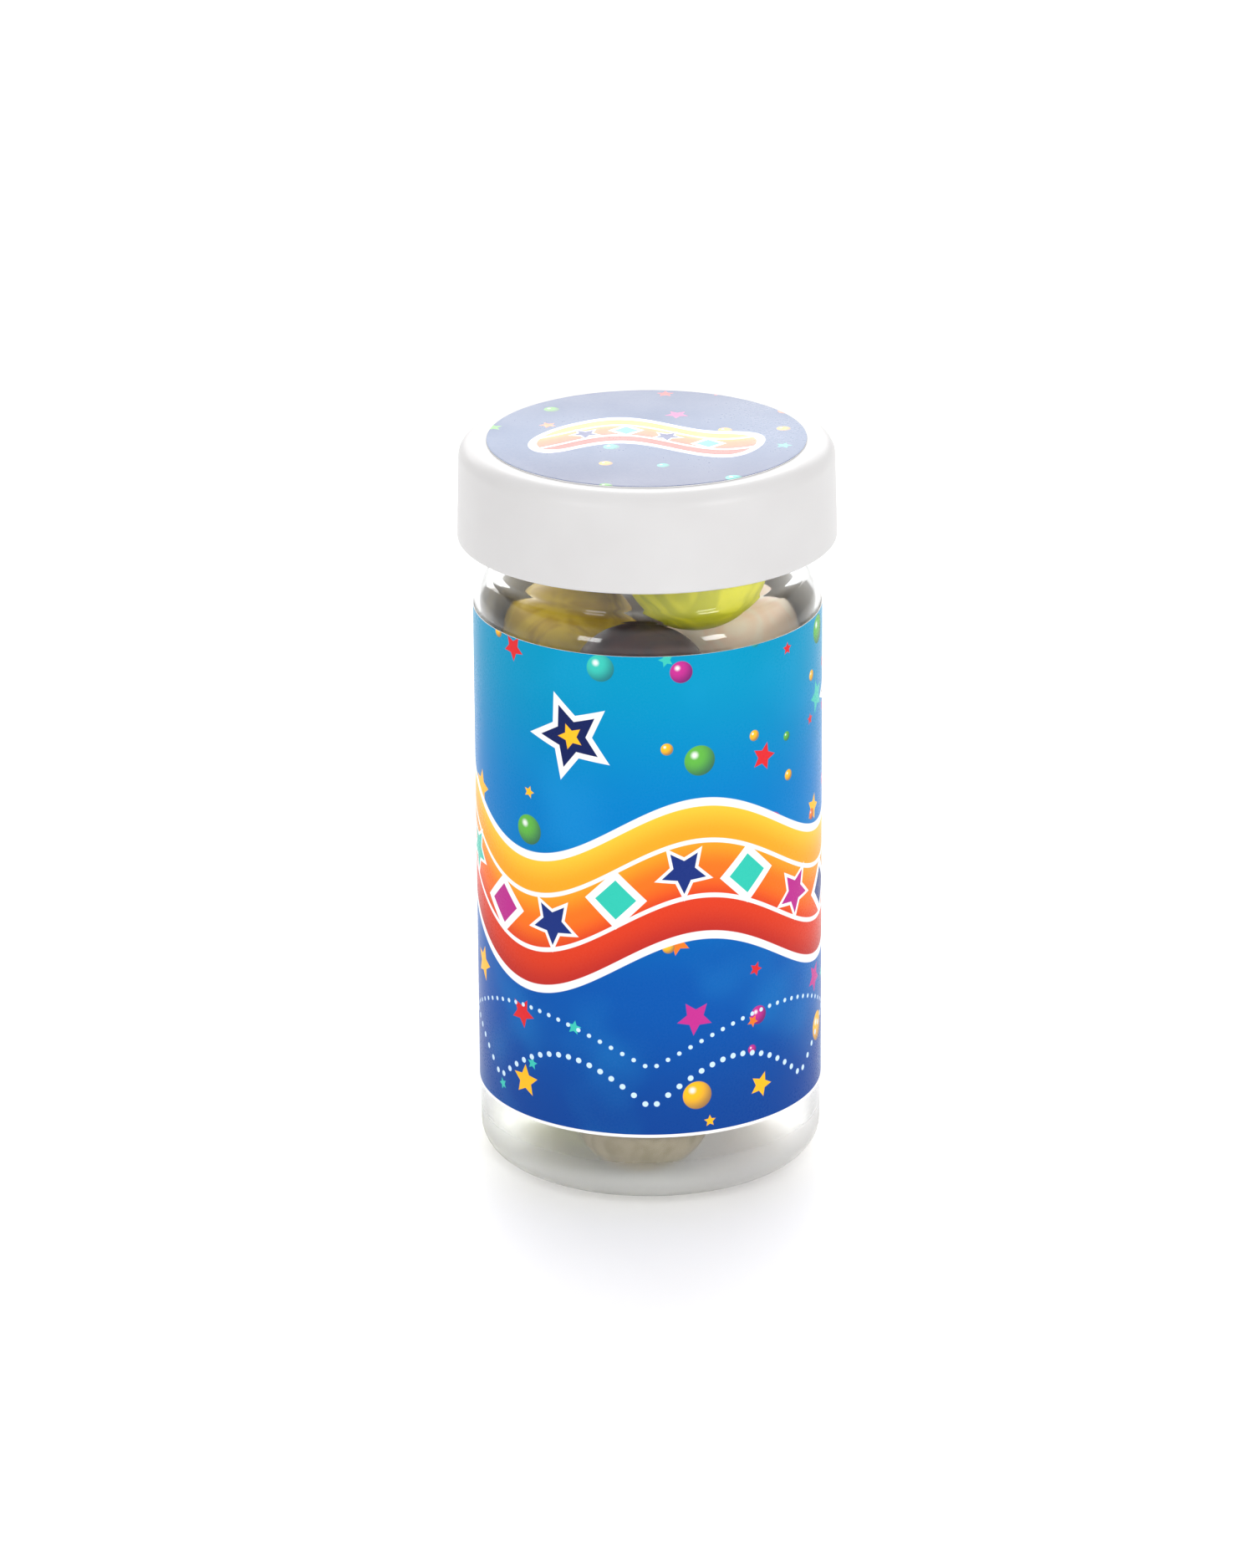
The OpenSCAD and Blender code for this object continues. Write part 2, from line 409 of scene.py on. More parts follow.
def new_group(name, inputs, outputs):
    """An empty node group with named values and colours: (tree, its inputs, its outputs)."""
    tree = bpy.data.node_groups.new(name, "ShaderNodeTree")
    for label, value in inputs.items():
        kind = "NodeSocketColor" if isinstance(value, tuple) else "NodeSocketFloat"
        tree.interface.new_socket(label, in_out="INPUT", socket_type=kind).default_value = value
    for label in outputs:
        kind = "NodeSocketColor" if label == "Color" else "NodeSocketFloat"
        tree.interface.new_socket(label, in_out="OUTPUT", socket_type=kind)
    return tree, tree.nodes.new("NodeGroupInput").outputs, tree.nodes.new("NodeGroupOutput").inputs


def use(tree, group, **values):
    """Places a group in a tree and gives back its outputs."""
    node = tree.nodes.new("ShaderNodeGroup")
    node.node_tree = group
    for label, value in values.items():
        join(tree, value, node.inputs[label])
    return node.outputs


def new_material(name):
    made = bpy.data.materials.new(name)
    made.use_nodes = True
    return made, made.node_tree, made.node_tree.nodes["Principled BSDF"]


def bump(tree, shader, height, strength, distance):
    node = tree.nodes.new("ShaderNodeBump")
    node.inputs["Strength"].default_value = strength
    node.inputs["Distance"].default_value = distance
    join(tree, height, node.inputs["Height"])
    tree.links.new(node.outputs[0], shader.inputs["Normal"])


# Shared effects


def grain_group():
    """Fine moulded grain with broad unevenness: a roughness, a height and a shade."""
    tree, given, out = new_group(
        "moulded grain",
        {"Scale": 2500.0, "Roughness": 0.4, "Spread": 0.1},
        ["Roughness", "Height", "Shade"],
    )
    fine = noise(tree, given["Scale"], 3.0)
    broad = noise(tree, calc(tree, "MULTIPLY", given["Scale"], 0.03), 2.0)
    centred = calc(tree, "SUBTRACT", calc(tree, "ADD", fine, broad), 1.0)
    join(tree, calc(tree, "MULTIPLY_ADD", centred, given["Spread"], given["Roughness"]), out["Roughness"])
    join(tree, fine, out["Height"])
    join(tree, broad, out["Shade"])
    return tree


def wrap_place_group():
    """Millimetres along the wrap label from the middle of its front, and up from its lower edge."""
    tree, _, out = new_group("place on wrap", {}, ["Along", "Up"])
    at = position(tree)
    turn = calc(tree, "ARCTAN2", at["X"], calc(tree, "MULTIPLY", at["Y"], -1.0))
    join(tree, calc(tree, "MULTIPLY", turn, LABEL_OUT_R / MM), out["Along"])
    lifted = calc(tree, "SUBTRACT", at["Z"], LABEL_Z)
    join(tree, calc(tree, "MULTIPLY", lifted, 1 / MM), out["Up"])
    return tree


def disc_place_group():
    """Millimetres to the right and towards the back from the middle of the cap."""
    tree, _, out = new_group("place on disc", {}, ["Along", "Up"])
    at = position(tree)
    join(tree, calc(tree, "MULTIPLY", at["X"], 1 / MM), out["Along"])
    join(tree, calc(tree, "MULTIPLY", at["Y"], 1 / MM), out["Up"])
    return tree


def scatter_group():
    """One loose spot in each square of a grid: the place inside it, and two random numbers."""
    tree, given, out = new_group(
        "scatter", {"Along": 0.0, "Up": 0.0, "Cell": 12.0, "Seed": 0.0}, ["X", "Y", "Pick", "Size"]
    )
    column = calc(tree, "FLOOR", calc(tree, "DIVIDE", given["Along"], given["Cell"]))
    row = calc(tree, "FLOOR", calc(tree, "DIVIDE", given["Up"], given["Cell"]))
    cell = tree.nodes.new("ShaderNodeCombineXYZ")
    for value, socket in zip((column, row, given["Seed"]), cell.inputs):
        join(tree, value, socket)
    chance = tree.nodes.new("ShaderNodeTexWhiteNoise")
    tree.links.new(cell.outputs[0], chance.inputs["Vector"])
    parts = tree.nodes.new("ShaderNodeSeparateColor")
    tree.links.new(chance.outputs["Color"], parts.inputs[0])
    for along, index, random, label in (
        (given["Along"], column, parts.outputs[0], "X"),
        (given["Up"], row, parts.outputs[1], "Y"),
    ):
        inset = calc(tree, "MULTIPLY_ADD", random, 0.5, 0.25)
        centre = both(tree, calc(tree, "ADD", index, inset), given["Cell"])
        join(tree, calc(tree, "SUBTRACT", along, centre), out[label])
    join(tree, parts.outputs[2], out["Pick"])
    join(tree, chance.outputs["Value"], out["Size"])
    return tree


def star_group():
    """A mask of a five-pointed star at a place, with its size and turn."""
    tree, given, out = new_group("star", {"X": 0.0, "Y": 0.0, "Size": 2.0, "Turn": 0.0}, ["Mask"])
    point = math.radians(36)
    notch = 0.48
    run = (notch * math.cos(point) - 1, notch * math.sin(point))
    side = math.hypot(*run)
    turn = calc(tree, "ADD", calc(tree, "ARCTAN2", given["Y"], given["X"]), given["Turn"])
    fold = calc(tree, "PINGPONG", turn, point)
    reach = length(tree, given["X"], given["Y"])
    x = both(tree, reach, calc(tree, "COSINE", fold))
    y = both(tree, reach, calc(tree, "SINE", fold))
    along = calc(tree, "MULTIPLY", calc(tree, "SUBTRACT", x, given["Size"]), run[1] / side)
    away = calc(tree, "MULTIPLY_ADD", y, -run[0] / side, along)
    join(tree, under(tree, away, 0.0, 0.08), out["Mask"])
    return tree


def printed_ball_group():
    """A small printed ball at a place: its mask, the dark of its far side and the light of its gloss."""
    tree, given, out = new_group(
        "printed ball", {"X": 0.0, "Y": 0.0, "Size": 2.0}, ["Mask", "Dark", "Light"]
    )
    reach = length(tree, given["X"], given["Y"])
    join(tree, under(tree, reach, given["Size"], 0.1), out["Mask"])
    lit_x = calc(tree, "MULTIPLY_ADD", given["Size"], 0.34, given["X"])
    lit_y = calc(tree, "MULTIPLY_ADD", given["Size"], -0.38, given["Y"])
    away = calc(tree, "DIVIDE", length(tree, lit_x, lit_y), given["Size"])
    lit = calc(tree, "SUBTRACT", 1.0, under(tree, away, 1.0, 0.6))
    join(tree, calc(tree, "MULTIPLY", lit, 0.7), out["Dark"])
    join(tree, calc(tree, "MULTIPLY", under(tree, away, 0.2, 0.16), 0.85), out["Light"])
    return tree


def hop_group():
    """A mask of a dotted line that hops along."""
    tree, given, out = new_group(
        "hop trail",
        {"Along": 0.0, "Up": 0.0, "Base": 0.0, "Height": 10.0, "Hop": 24.0, "Step": 2.0, "Size": 0.5},
        ["Mask"],
    )
    index = calc(tree, "FLOOR", calc(tree, "DIVIDE", given["Along"], given["Step"]))
    centre = both(tree, calc(tree, "ADD", index, 0.5), given["Step"])
    phase = calc(tree, "MULTIPLY", calc(tree, "DIVIDE", centre, given["Hop"]), math.pi)
    hop = calc(tree, "ABSOLUTE", calc(tree, "SINE", phase))
    level = calc(tree, "MULTIPLY_ADD", hop, given["Height"], given["Base"])
    x = calc(tree, "SUBTRACT", given["Along"], centre)
    y = calc(tree, "SUBTRACT", given["Up"], level)
    join(tree, under(tree, length(tree, x, y), given["Size"], 0.08), out["Mask"])
    return tree


def marble_group():
    """Rubber with slow swirls of a second colour: a colour, a roughness and a height."""
    tree, given, out = new_group(
        "marbled rubber",
        {"Main": (1.0, 1.0, 1.0, 1.0), "Swirl": (0.5, 0.5, 0.5, 1.0), "Scale": 70.0},
        ["Color", "Roughness", "Height"],
    )
    swirl = noise(tree, given["Scale"], 1.5, 3.5)
    veins = ramp(tree, swirl, [(0.38, (0, 0, 0, 1)), (0.66, (1, 1, 1, 1))])
    speck = noise(tree, 1400.0, 2.0)
    toned = layer(tree, veins, given["Main"], given["Swirl"])
    dust = calc(tree, "MULTIPLY", under(tree, speck, 0.36, 0.05), 0.35)
    join(tree, layer(tree, dust, toned, given["Swirl"]), out["Color"])
    join(tree, calc(tree, "MULTIPLY_ADD", speck, 0.2, 0.38), out["Roughness"])
    join(tree, speck, out["Height"])
    return tree


GRAIN = grain_group()
ON_WRAP = wrap_place_group()
ON_DISC = disc_place_group()
SCATTER = scatter_group()
STAR = star_group()
BALL_MARK = printed_ball_group()
HOPS = hop_group()
MARBLE = marble_group()

# Sizes in millimetres: the white strip along the wrap's foot, the white outer end of the wrap, and the
# ribbon's edge and lines
WRAP_FOOT = 0.6
WRAP_MARGIN = 0.8
RIBBON_EDGE = 1.6
RIBBON_LINE = 0.45

# Print colours, with their places along a fade or their shares of a random draw
WHITE = (0.9, 0.9, 0.9, 1.0)
NAVY = srgb(22, 34, 86)
YELLOW = srgb(250, 185, 40)
HOP_BLUE = srgb(200, 225, 245)
CLOUD_BLUE = srgb(50, 175, 235)
BRIGHTS = [
    (0.0, srgb(215, 45, 50)),
    (0.17, srgb(60, 190, 175)),
    (0.34, srgb(190, 50, 140)),
    (0.5, YELLOW),
    (0.67, srgb(95, 175, 70)),
    (0.84, srgb(240, 120, 40)),
]
RIBBON_BANDS = [
    (0.0, srgb(178, 44, 40)),
    (0.28, srgb(212, 62, 36)),
    (0.5, srgb(238, 112, 34)),
    (0.74, srgb(246, 160, 40)),
    (1.0, srgb(250, 196, 60)),
]
RIBBON_MARKS = [(0.0, srgb(30, 50, 120)), (0.34, srgb(50, 190, 170)), (0.67, srgb(180, 45, 135))]
WRAP_FADE = [
    (0.0, srgb(16, 66, 144)),
    (0.3, srgb(8, 82, 164)),
    (0.62, srgb(0, 118, 188)),
    (1.0, srgb(0, 143, 184)),
]
DISC_FADE = [(0.0, srgb(32, 56, 108)), (0.5, srgb(20, 72, 126)), (1.0, srgb(16, 58, 112))]

# The clear plastic, and the height, soft edge and blur of the haze at its foot
PLASTIC_IOR = 1.38
HAZE_Z = 9 * MM
HAZE_SOFT = 6 * MM
HAZE_BLUR = 0.38


# Materials


def clear_plastic():
    """Clear blown plastic that lets lamps through, with faint waves from the mould and a hazy base."""
    made, tree, shader = new_material("clear plastic")
    grain = use(tree, GRAIN, Scale=900.0, Roughness=0.05, Spread=0.03)
    haze = under(tree, position(tree)["Z"], HAZE_Z, HAZE_SOFT)
    blurred = calc(tree, "MULTIPLY_ADD", haze, HAZE_BLUR, grain["Roughness"])
    shader.inputs["Base Color"].default_value = (0.995, 1.0, 1.0, 1.0)
    shader.inputs["Transmission Weight"].default_value = 1.0
    shader.inputs["IOR"].default_value = PLASTIC_IOR
    tree.links.new(blurred, shader.inputs["Roughness"])
    bump(tree, shader, noise(tree, 60.0, 1.0), 0.12, 0.4 * MM)
    clear = tree.nodes.new("ShaderNodeBsdfTransparent")
    clear.inputs[0].default_value = (0.985, 0.99, 0.99, 1.0)
    path = tree.nodes.new("ShaderNodeLightPath")
    mix = tree.nodes.new("ShaderNodeMixShader")
    tree.links.new(path.outputs["Is Shadow Ray"], mix.inputs[0])
    tree.links.new(shader.outputs[0], mix.inputs[1])
    tree.links.new(clear.outputs[0], mix.inputs[2])
    tree.links.new(mix.outputs[0], tree.nodes["Material Output"].inputs["Surface"])
    return made


def white_moulding():
    made, tree, shader = new_material("white moulding")
    grain = use(tree, GRAIN, Scale=2600.0, Roughness=0.42, Spread=0.12)
    tone = layer(tree, grain["Shade"], srgb(197, 195, 195), srgb(205, 204, 204))
    tree.links.new(tone, shader.inputs["Base Color"])
    tree.links.new(grain["Roughness"], shader.inputs["Roughness"])
    shader.inputs["Subsurface Weight"].default_value = 0.08
    shader.inputs["Subsurface Radius"].default_value = (1.0, 0.9, 0.8)
    shader.inputs["Subsurface Scale"].default_value = 1.5 * MM
    bump(tree, shader, grain["Height"], 0.12, 0.05 * MM)
    return made


def liner_foam():
    made, tree, shader = new_material("liner foam")
    grain = use(tree, GRAIN, Scale=3200.0, Roughness=0.75, Spread=0.15)
    tone = layer(tree, grain["Height"], srgb(205, 205, 200), srgb(238, 238, 234))
    tree.links.new(tone, shader.inputs["Base Color"])
    tree.links.new(grain["Roughness"], shader.inputs["Roughness"])
    bump(tree, shader, grain["Height"], 0.5, 0.1 * MM)
    return made


def film_back():
    """The white unprinted side and cut edges of a label."""
    made, tree, shader = new_material("film back")
    grain = use(tree, GRAIN, Scale=1800.0, Roughness=0.55, Spread=0.1)
    tone = layer(tree, grain["Shade"], srgb(232, 233, 235), srgb(246, 246, 246))
    tree.links.new(tone, shader.inputs["Base Color"])
    tree.links.new(grain["Roughness"], shader.inputs["Roughness"])
    bump(tree, shader, grain["Height"], 0.1, 0.03 * MM)
    return made


def print_finish(tree, shader, colour, roughness, gloss):
    """Glossy printed film: a faint grain, a clear coat and slow ripples."""
    grain = use(tree, GRAIN, Scale=2200.0, Roughness=roughness, Spread=0.1)
    tree.links.new(colour, shader.inputs["Base Color"])
    tree.links.new(grain["Roughness"], shader.inputs["Roughness"])
    shader.inputs["Specular IOR Level"].default_value = gloss
    shader.inputs["Coat Weight"].default_value = 0.03
    shader.inputs["Coat Roughness"].default_value = 0.12
    bump(tree, shader, noise(tree, 110.0, 1.0), 0.06, 0.3 * MM)


def ball_mark(tree, colour, x, y, size, paint, shown):
    """A printed ball over a colour, where shown is 1."""
    mark = use(tree, BALL_MARK, X=x, Y=y, Size=size)
    shaded = layer(tree, mark["Dark"], paint, NAVY)
    shaded = layer(tree, mark["Light"], shaded, WHITE)
    return layer(tree, both(tree, mark["Mask"], shown), colour, shaded)


def spots(tree, colour, place, cell, seed, share):
    """Loose stars and balls in bright colours over a colour."""
    loose = use(tree, SCATTER, Along=place["Along"], Up=place["Up"], Cell=cell, Seed=seed)
    size = calc(tree, "MULTIPLY_ADD", loose["Size"], cell * 0.12, cell * 0.1)
    paint = ramp(tree, loose["Pick"], BRIGHTS, step=True)
    shown = under(tree, loose["Size"], share, 0.001)
    turn = calc(tree, "MULTIPLY", loose["Pick"], 6.0)
    star = use(tree, STAR, X=loose["X"], Y=loose["Y"], Size=calc(tree, "MULTIPLY", size, 1.3), Turn=turn)
    is_star = under(tree, calc(tree, "FRACT", calc(tree, "MULTIPLY", loose["Pick"], 7.0)), 0.5, 0.001)
    is_ball = both(tree, calc(tree, "SUBTRACT", 1.0, is_star), shown)
    colour = layer(tree, both(tree, both(tree, star["Mask"], is_star), shown), colour, paint)
    return ball_mark(tree, colour, loose["X"], loose["Y"], size, paint, is_ball)


def large_stars(tree, colour, along, up, first, step, level):
    """A row of large white stars with a dark and a yellow star inside each."""
    index = calc(tree, "ROUND", calc(tree, "DIVIDE", calc(tree, "SUBTRACT", along, first), step))
    x = calc(tree, "SUBTRACT", along, calc(tree, "MULTIPLY_ADD", index, step, first))
    y = calc(tree, "SUBTRACT", up, level)
    for size, paint in ((9.0, WHITE), (6.4, NAVY), (2.6, YELLOW)):
        star = use(tree, STAR, X=x, Y=y, Size=size, Turn=0.55)
        colour = layer(tree, star["Mask"], colour, paint)
    return colour


def swing(tree, along, turn, start, height, level):
    """The level of a wave at a place along it."""
    wave = calc(tree, "SINE", calc(tree, "MULTIPLY_ADD", along, turn, start))
    return calc(tree, "MULTIPLY_ADD", wave, height, level)


def ribbon(tree, colour, along, up, half, reach, step, wave):
    """A waving ribbon of warm bands with white edges and round ends, and stars and diamonds along it."""
    off = calc(tree, "SUBTRACT", up, swing(tree, along, **wave))
    past = calc(tree, "MAXIMUM", calc(tree, "SUBTRACT", calc(tree, "ABSOLUTE", along), reach), 0.0)
    away = length(tree, off, past)
    colour = layer(tree, under(tree, away, half, 0.12), colour, WHITE)
    bands = ramp(tree, calc(tree, "MULTIPLY_ADD", off, 0.5 / half, 0.5), RIBBON_BANDS)
    inside = under(tree, away, half - RIBBON_EDGE, 0.12)
    colour = layer(tree, inside, colour, bands)
    for line in (-0.38, 0.4):
        gap = calc(tree, "ABSOLUTE", calc(tree, "SUBTRACT", off, line * half))
        colour = layer(tree, both(tree, under(tree, gap, RIBBON_LINE, 0.1), inside), colour, WHITE)
    index = calc(tree, "FLOOR", calc(tree, "DIVIDE", along, step))
    centre = calc(tree, "MULTIPLY", calc(tree, "ADD", index, 0.5), step)
    x = calc(tree, "SUBTRACT", along, centre)
    y = calc(tree, "SUBTRACT", up, swing(tree, centre, **wave))
    shown = under(tree, calc(tree, "ABSOLUTE", centre), reach, 0.01)
    odd = both(tree, shown, calc(tree, "PINGPONG", index, 1.0))
    even = calc(tree, "SUBTRACT", shown, odd)
    outline = use(tree, STAR, X=x, Y=y, Size=half * 0.42, Turn=math.pi / 10)
    star = use(tree, STAR, X=x, Y=y, Size=half * 0.32, Turn=math.pi / 10)
    pick = calc(tree, "FRACT", calc(tree, "MULTIPLY", index, 0.381))
    paint = ramp(tree, pick, RIBBON_MARKS, step=True)
    colour = layer(tree, both(tree, outline["Mask"], even), colour, WHITE)
    colour = layer(tree, both(tree, star["Mask"], even), colour, paint)
    spread = calc(tree, "ADD", calc(tree, "ABSOLUTE", x), calc(tree, "ABSOLUTE", y))
    for size, tone in ((0.42, WHITE), (0.28, paint)):
        colour = layer(tree, both(tree, under(tree, spread, half * size, 0.1), odd), colour, tone)
    return colour


def wrap_print(margin_at):
    """The wrap label's print: a blue fade with loose spots, hop trails, large stars and one waving ribbon
    all round, and white along its foot and along its outer end, whose middle is at margin_at."""
    made, tree, shader = new_material("wrap print")
    place = use(tree, ON_WRAP)
    along, up = place["Along"], place["Up"]
    around = 2 * math.pi * LABEL_OUT_R / MM
    colour = ramp(tree, calc(tree, "DIVIDE", up, LABEL_H / MM), WRAP_FADE)
    cloud = under(tree, noise(tree, 38.0, 2.0), 0.42, 0.12)
    colour = layer(tree, calc(tree, "MULTIPLY", cloud, 0.14), colour, CLOUD_BLUE)
    colour = spots(tree, colour, place, cell=17.0, seed=3.0, share=0.62)
    colour = spots(tree, colour, place, cell=9.0, seed=8.0, share=0.3)
    for base, hops, size in ((6.0, 6, 0.55), (14.0, 4, 0.42)):
        trail = {"Base": base, "Height": 9.0, "Hop": around / hops, "Step": around / 96, "Size": size}
        dots = use(tree, HOPS, Along=along, Up=up, **trail)
        colour = layer(tree, dots["Mask"], colour, HOP_BLUE)
    colour = large_stars(tree, colour, along, up, first=-15.0, step=around / 3, level=79.0)
    wave = {"turn": 2 * math.pi * 3 / around, "start": 0.7, "height": 6.5, "level": 47.0}
    colour = ribbon(tree, colour, along, up, half=14.0, reach=around, step=around / 16, wave=wave)
    margin = calc(tree, "ABSOLUTE", calc(tree, "SUBTRACT", along, margin_at))
    for edge, width in ((up, WRAP_FOOT), (margin, WRAP_MARGIN / 2)):
        colour = layer(tree, under(tree, edge, width, 0.05), colour, WHITE)
    print_finish(tree, shader, colour, roughness=0.28, gloss=0.05)
    return made


def disc_print():
    """The cap label's print: a darker blue, loose spots and a short ribbon across the middle."""
    made, tree, shader = new_material("disc print")
    place = use(tree, ON_DISC)
    along, up = place["Along"], place["Up"]
    colour = ramp(tree, calc(tree, "MULTIPLY_ADD", up, 0.5 * MM / DISC_R, 0.5), DISC_FADE)
    colour = spots(tree, colour, place, cell=11.0, seed=5.0, share=0.6)
    wave = {"turn": 0.16, "start": 2.4, "height": 4.5, "level": 0.0}
    colour = ribbon(tree, colour, along, up, half=8.0, reach=14.0, step=7.6, wave=wave)
    print_finish(tree, shader, colour, roughness=0.3, gloss=0.29)
    return made


def rubber(slot, main, swirl):
    made, tree, shader = new_material(slot.replace("_", " "))
    marble = use(tree, MARBLE, Main=main, Swirl=swirl)
    tree.links.new(marble["Color"], shader.inputs["Base Color"])
    tree.links.new(marble["Roughness"], shader.inputs["Roughness"])
    shader.inputs["Specular IOR Level"].default_value = 0.3
    bump(tree, shader, marble["Height"], 0.1, 0.05 * MM)
    return made


RUBBER = {
    "ball_red": (srgb(205, 40, 36), srgb(228, 84, 60)),
    "ball_amber": (srgb(232, 160, 40), srgb(246, 196, 92)),
    "ball_olive": (srgb(226, 193, 63), srgb(201, 162, 49)),
    "ball_lime": (srgb(226, 221, 50), srgb(198, 197, 40)),
    "ball_green": (srgb(60, 160, 84), srgb(120, 196, 110)),
    "ball_teal": (srgb(40, 168, 170), srgb(110, 206, 200)),
    "ball_blue": (srgb(40, 96, 196), srgb(90, 150, 226)),
    "ball_violet": (srgb(116, 66, 160), srgb(164, 110, 196)),
    "ball_pink": (srgb(222, 90, 140), srgb(240, 150, 180)),
    "ball_peach": (srgb(255, 240, 216), srgb(255, 226, 198)),
    "ball_maroon": (srgb(62, 38, 40), srgb(44, 28, 34)),
    "ball_cream": (srgb(156, 145, 122), srgb(138, 129, 104)),
}


def floor_finish():
    made, tree, shader = new_material("pale floor")
    grain = use(tree, GRAIN, Scale=40.0, Roughness=0.5, Spread=0.05)
    tone = layer(tree, grain["Shade"], srgb(250, 250, 249), srgb(252, 252, 252))
    tree.links.new(tone, shader.inputs["Base Color"])
    tree.links.new(grain["Roughness"], shader.inputs["Roughness"])
    return made


# Pieces


def throat(arc_r, wall_r, hollow_r):
    """The rounded shoulder and the hollow above it, from the body's wall up to the neck's."""
    axis = (BODY_R - SHOULDER_R, SHOULDER_Z)
    hollow_x = wall_r + hollow_r
    rise = math.sqrt((arc_r + hollow_r) ** 2 - (hollow_x - axis[0]) ** 2)
    meet = math.degrees(math.atan2(rise, hollow_x - axis[0]))
    hollow = (hollow_x, SHOULDER_Z + rise)
    return arc(axis, arc_r, 0, meet) + arc(hollow, hollow_r, 180 + meet, 180)[1:]


def dome(radius, edge_r, middle_z):
    return arc((0, middle_z), radius, 90, math.degrees(math.acos(edge_r / radius)))


def make_jar():
    dome_r = (DOME_R**2 + DOME_H**2) / (2 * DOME_H)
    dome_z = DOME_H - dome_r
    inner_dome_r = dome_r + FLOOR_T
    inner_edge = math.sqrt(inner_dome_r**2 - (FLOOR_T - dome_z) ** 2)
    inner_r = BODY_R - JAR_WALL
    neck_ir = NECK_R - NECK_WALL
    heel_ir = HEEL_R - JAR_WALL
    gate = [(0, DOME_H - GATE_H), (GATE_R - GATE_H / 2, DOME_H - GATE_H), (GATE_R, DOME_H - GATE_H / 4)]
    outside = (
        gate
        + dome(dome_r, DOME_R, dome_z)[1:]
        + arc((BODY_R - HEEL_R, HEEL_R), HEEL_R, -90, 0)
        + throat(SHOULDER_R, NECK_R, THROAT_R)
        + arc((NECK_R - RIM_ROUND, RIM_Z - RIM_ROUND), RIM_ROUND, 0, 90, 4)
    )
    inside = (
        dome(inner_dome_r, inner_edge, dome_z)
        + arc((inner_r - heel_ir, FLOOR_T + heel_ir), heel_ir, -90, 0)
        + throat(SHOULDER_R - JAR_WALL, neck_ir, THROAT_R + JAR_WALL)
        + arc((neck_ir + RIM_ROUND, RIM_Z - RIM_ROUND), RIM_ROUND, 180, 90, 4)
    )
    jar = closed(spun("clear_jar", held(outside + inside[::-1])))
    fuse(jar, thread_ridge("neck_thread", NECK_R, THREAD_Z, 1))
    return set_out(smooth(jar), "jar", "jar", clear_plastic())


def make_cap():
    top_r = CAP_R - CAP_DRAFT
    groove_r = CAP_R - SKIRT_T
    section = (
        [(0, CAP_TOP)]
        + arc((top_r - CAP_EDGE_R, CAP_TOP - CAP_EDGE_R), CAP_EDGE_R, 90, 0)
        + arc((CAP_R - LIP_R, CAP_BOTTOM + LIP_R), LIP_R, 0, -90, 5)
        + arc((groove_r + LIP_R, CAP_BOTTOM + LIP_R), LIP_R, -90, -180, 5)
        + [
            (groove_r - CAP_DRAFT, CAP_CEILING),
            (INNER_SKIRT_R, CAP_CEILING),
            (INNER_SKIRT_R, INNER_SKIRT_Z),
            (SKIRT_IR, INNER_SKIRT_Z),
            (SKIRT_IR, CAP_CEILING),
            (0, CAP_CEILING),
        ]
    )
    cap = closed(spun("screw_cap", held(section)))
    fuse(cap, thread_ridge("cap_thread", SKIRT_IR, THREAD_Z - PITCH / 2, -1))
    return set_out(smooth(cap), "cap", "cap", white_moulding())


def make_liner():
    """The foam disc, with the groove that the rim has pressed into its underside."""
    edge_r = LINER_R - LINER_EDGE
    neck_ir = NECK_R - NECK_WALL
    groove_z = LINER_LOW + LINER_GROOVE
    section = (
        [(0, LINER_HIGH)]
        + arc((edge_r, LINER_HIGH - LINER_EDGE), LINER_EDGE, 90, 0, 4)
        + arc((edge_r, LINER_LOW + LINER_EDGE), LINER_EDGE, 0, -90, 4)
        + [
            (NECK_R + LINER_GROOVE, LINER_LOW),
            (NECK_R - LINER_GROOVE, groove_z),
            (neck_ir + LINER_GROOVE, groove_z),
            (neck_ir - LINER_GROOVE, LINER_LOW),
            (0, LINER_LOW),
        ]
    )
    liner = closed(spun("cap_seal", held(section)))
    return set_out(smooth(liner), "cap_liner", "liner", liner_foam())


def outward(face):
    """How far a face looks away from the jar's axis: 1 straight out, -1 straight in."""
    return face.normal.dot(Vector((face.center.x, face.center.y, 0)).normalized())


